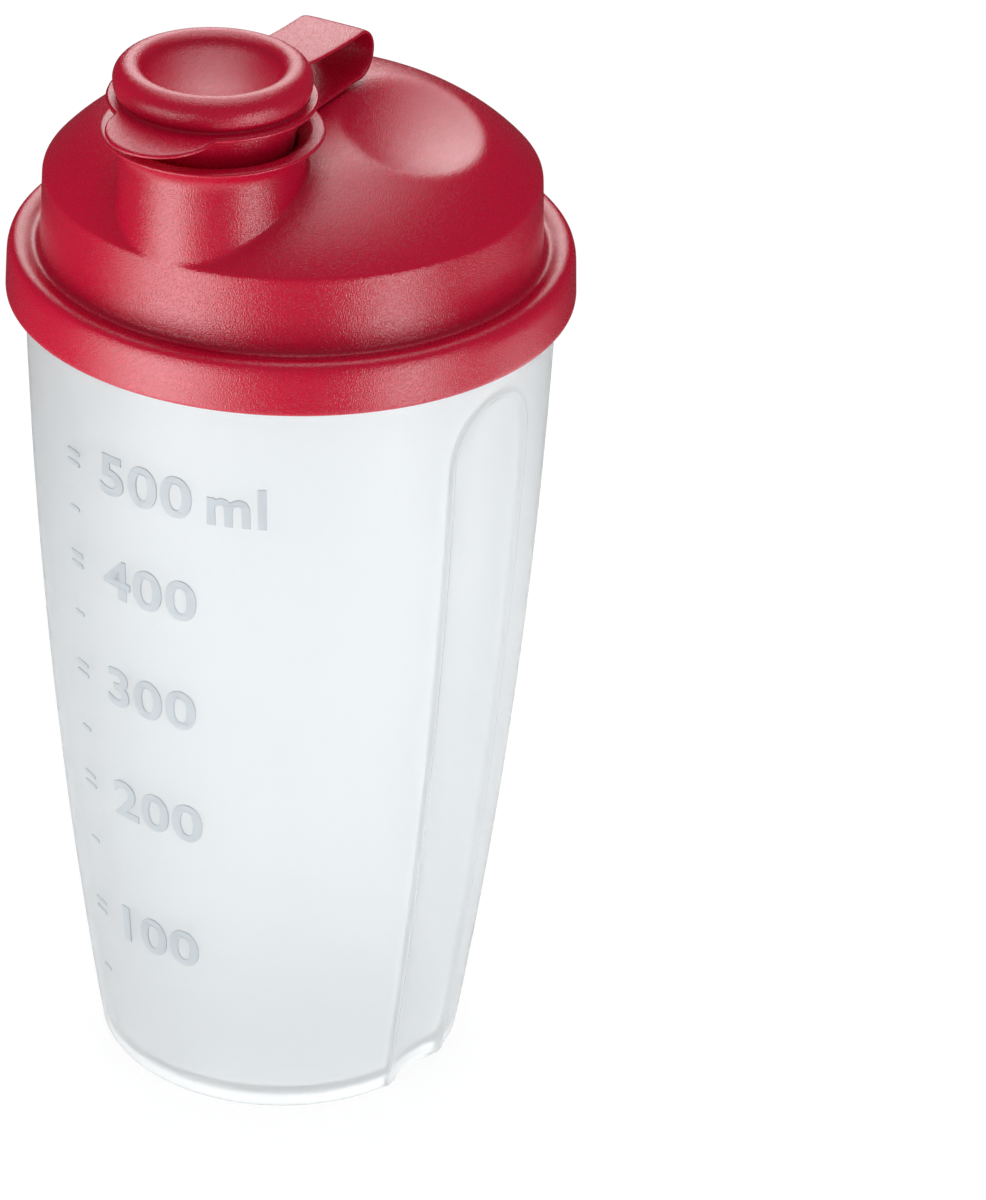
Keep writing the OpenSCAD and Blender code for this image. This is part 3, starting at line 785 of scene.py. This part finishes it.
# Light that passes through the cup is stronger on its right side: the direction, the distances along
# it and the strengths there
RIGHT_SIDE, THROUGH_FROM, THROUGH_LEVELS = (0.87, 0.5, 0), (0.0, 0.08), (1.2, 1.85)
# Reflections see a glow painted on the floor near the cup, a painted reflection of a lit white table, and
# dark surroundings beyond it: distances and strengths
TABLE_GLOW_EDGE, TABLE_GLOW_LEVELS = (0.16, 0.26), (0.9, 0.05)
# The sky's colour, its strength as light, and the change of that strength for reflections
SKY_COLOUR, SKY_LEVEL, SKY_MIRRORED_CHANGE = (0.95, 0.97, 1.0, 1), 0.59, -0.57
# Lamps as (name, place, target, size, watts)
LAMPS = [("left_card", (-0.0585, -0.191, 0.08), (0, 0, 0.08), (0.15, 0.16), 0.25),
         ("right_card", (0.191, -0.0585, 0.08), (0, 0, 0.08), (0.05, 0.16), 0.12),
         ("low_card", (0.131, 0.092, 0.04), (0, 0, 0.05), (0.1, 0.07), 0.042),
         ("back_softbox", (-0.275, 0.441, 0.45), (0, 0, 0.16), (0.3, 0.45), 1.1),
         ("top_softbox", (-0.13, 0.22, 1.1), (0, 0, 0.15), (0.8, 0.8), 3.2)]
# The lid stands turned by 30 degrees from the camera, and the fit to the photograph gives the rest
OBJECT_TURN = math.radians(30)
CAMERA_YAW, CAMERA_PITCH, CAMERA_ROLL = 0.0491, 0.5273, 0.0408
CAMERA_PLACE_MM = (0, -704.1, 493.3)
FOCAL_PX, PHOTO_H_PX = 4862, 1200
SENSOR_MM = 36
CLIP_NEAR, CLIP_FAR = 0.05, 20


def maths(nodes, links, operation, *values):
    """The output of a maths node. Each value is a number or another node's output."""
    node = nodes.new("ShaderNodeMath")
    node.operation = operation
    for socket, value in zip(node.inputs, values):
        if isinstance(value, bpy.types.NodeSocket):
            links.new(value, socket)
        else:
            socket.default_value = value
    return node.outputs[0]


def mixed(nodes, links, share, first, second):
    """The output of a mix of two shaders, with this share of the second."""
    mix = nodes.new("ShaderNodeMixShader")
    for socket, value in zip(mix.inputs, (share, first, second)):
        links.new(value, socket)
    return mix.outputs["Shader"]


def emission(nodes, links, strength):
    glow = nodes.new("ShaderNodeEmission")
    links.new(strength, glow.inputs["Strength"])
    return glow.outputs["Emission"]


def make_floor():
    h = FLOOR_HALF_MM
    floor = mesh_piece("floor", [(-h, -h, 0), (h, -h, 0), (h, h, 0), (-h, h, 0)], [(0, 1, 2, 3)])
    material, nodes, links, shader = new_material("white_floor")
    set_inputs(shader, {"Base Color": FLOOR_COLOUR, "Roughness": FLOOR_ROUGHNESS})
    path = nodes.new("ShaderNodeLightPath")
    camera_ray, through_ray = path.outputs["Is Camera Ray"], path.outputs["Is Transmission Ray"]
    where = nodes.new("ShaderNodeTexCoord")
    side = nodes.new("ShaderNodeVectorMath")
    side.operation = "DOT_PRODUCT"
    side.inputs[1].default_value = RIGHT_SIDE
    links.new(where.outputs["Object"], side.inputs[0])
    through = map_range(nodes, links, side.outputs["Value"], THROUGH_FROM, THROUGH_LEVELS)
    through = maths(nodes, links, "MULTIPLY", through_ray, through)
    seen_level = maths(nodes, links, "MULTIPLY_ADD", camera_ray, WHITE_LEVEL, through)
    away = nodes.new("ShaderNodeVectorMath")
    away.operation = "LENGTH"
    links.new(where.outputs["Object"], away.inputs[0])
    # In reflections the floor glows, bright near the cup and dim beyond it: a painted reflection of a lit
    # table
    table_glow = map_range(nodes, links, away.outputs["Value"], TABLE_GLOW_EDGE, TABLE_GLOW_LEVELS)
    mirrored = emission(nodes, links, table_glow)
    lit = mixed(nodes, links, path.outputs["Is Glossy Ray"], shader.outputs["BSDF"], mirrored)
    # The floor is seen as white, but still holds part of the object's shadow
    seen = maths(nodes, links, "MAXIMUM", camera_ray, through_ray)
    share = maths(nodes, links, "MULTIPLY", seen, WHITE_SHARE)
    surface = mixed(nodes, links, share, lit, emission(nodes, links, seen_level))
    links.new(surface, nodes["Material Output"].inputs["Surface"])
    floor.data.materials.append(material)


def area_light(name, place, target, size, power):
    data = bpy.data.lights.new(name, "AREA")
    data.shape = "RECTANGLE"
    data.size, data.size_y = size
    data.energy = power
    lamp = bpy.data.objects.new(name, data)
    lamp.location = place
    lamp.visible_camera = False
    lamp.visible_transmission = False
    lamp.rotation_euler = (Vector(target) - Vector(place)).to_track_quat("-Z", "Y").to_euler()
    bpy.context.scene.collection.objects.link(lamp)


def make_world():
    """A pale sky that lights the object, white where it is seen and dim in reflections."""
    world = bpy.data.worlds.new("studio")
    world.use_nodes = True
    nodes, links = world.node_tree.nodes, world.node_tree.links
    path = nodes.new("ShaderNodeLightPath")
    seen = nodes.new("ShaderNodeBackground")
    set_inputs(seen, {"Color": (1, 1, 1, 1)})
    light = nodes["Background"]
    set_inputs(light, {"Color": SKY_COLOUR})
    glossy_ray = path.outputs["Is Glossy Ray"]
    level = maths(nodes, links, "MULTIPLY_ADD", glossy_ray, SKY_MIRRORED_CHANGE, SKY_LEVEL)
    links.new(level, light.inputs["Strength"])
    share = maths(nodes, links, "MAXIMUM", path.outputs["Is Camera Ray"], path.outputs["Is Transmission Ray"])
    surface = mixed(nodes, links, share, light.outputs["Background"], seen.outputs["Background"])
    links.new(surface, nodes["World Output"].inputs["Surface"])
    bpy.context.scene.world = world


def make_camera():
    yaw, pitch, roll = CAMERA_YAW, CAMERA_PITCH, CAMERA_ROLL
    right = Vector((math.cos(yaw), -math.sin(yaw), 0))
    ahead = Vector((math.sin(yaw) * math.cos(pitch), math.cos(yaw) * math.cos(pitch), -math.sin(pitch)))
    up = right.cross(ahead)
    right, up = right * math.cos(roll) + up * math.sin(roll), up * math.cos(roll) - right * math.sin(roll)
    basis = Matrix((right, up, -ahead)).transposed().to_4x4()
    data = bpy.data.cameras.new("camera")
    data.sensor_width = SENSOR_MM
    data.lens = FOCAL_PX / PHOTO_H_PX * SENSOR_MM
    data.clip_start, data.clip_end = CLIP_NEAR, CLIP_FAR
    camera = bpy.data.objects.new("camera", data)
    place = Matrix.Translation(Vector(CAMERA_PLACE_MM) * MM)
    camera.matrix_world = Matrix.Rotation(OBJECT_TURN, 4, "Z") @ place @ basis
    bpy.context.scene.collection.objects.link(camera)
    bpy.context.scene.camera = camera


make_floor()
make_world()
make_camera()
for lamp in LAMPS:
    area_light(*lamp)

bpy.context.scene.view_settings.view_transform = "Standard"
